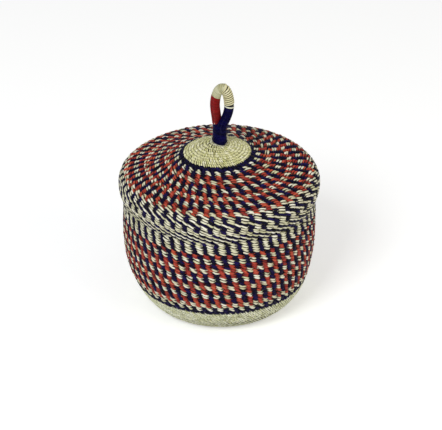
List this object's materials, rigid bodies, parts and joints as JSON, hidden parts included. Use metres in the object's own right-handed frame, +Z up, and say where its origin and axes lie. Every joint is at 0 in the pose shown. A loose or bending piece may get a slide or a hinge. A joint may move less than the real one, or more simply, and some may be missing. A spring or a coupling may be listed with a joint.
{
  "type": "lidded storage basket",
  "caption": "Round twined grass basket with a neck and a domed lift-off lid that has a wrapped loop handle, for storing small household things.",
  "frame": {"origin": "centre of the flat underside, on the surface that the basket stands on", "axes": "+Z up along the basket's axis, the handle's loop lies in the XZ plane, and the front is at -Y"},
  "size_m": [0.268, 0.268, 0.3185],
  "materials": {
    "natural_straw": "undyed yellow-green grass strands, satin where the strand is smooth",
    "cream_straw": "pale cream grass strands, satin",
    "navy_straw": "dyed navy grass strands, satin",
    "crimson_straw": "dyed dark red grass wrap, satin",
    "checked_weave": "twined grass in red, navy and cream, satin",
    "striped_weave": "twined grass in navy and cream, satin",
    "core_grass": "stiff bundled grass stems, dull"
  },
  "bodies": {
    "basket": {"basket_floor": "natural_straw", "basket_base_turn": "natural_straw", "basket_base_wall": "natural_straw", "basket_base_ring": "navy_straw", "basket_side": "checked_weave", "basket_stripe_band": "striped_weave", "basket_neck": "striped_weave", "basket_rim": "cream_straw"},
    "lid": {"lid_crown": "natural_straw", "lid_ring": "navy_straw", "lid_dome": "checked_weave", "lid_shoulder_band": "striped_weave", "lid_skirt_band": "striped_weave", "lid_edge_border": "striped_weave", "handle_core": "core_grass", "handle_lashing": "core_grass", "handle_stem_wrap": "navy_straw", "handle_red_wrap": "crimson_straw", "handle_fine_cream_wrap": "cream_straw", "handle_coarse_cream_wrap": "cream_straw", "handle_thin_band": "cream_straw", "handle_navy_wrap": "navy_straw"}
  },
  "joints": [
    {"name": "lid_lift", "type": "slide", "parent": "basket", "child": "lid", "axis": [0, 0, 1], "range_m": [0, 0.15]}
  ]
}
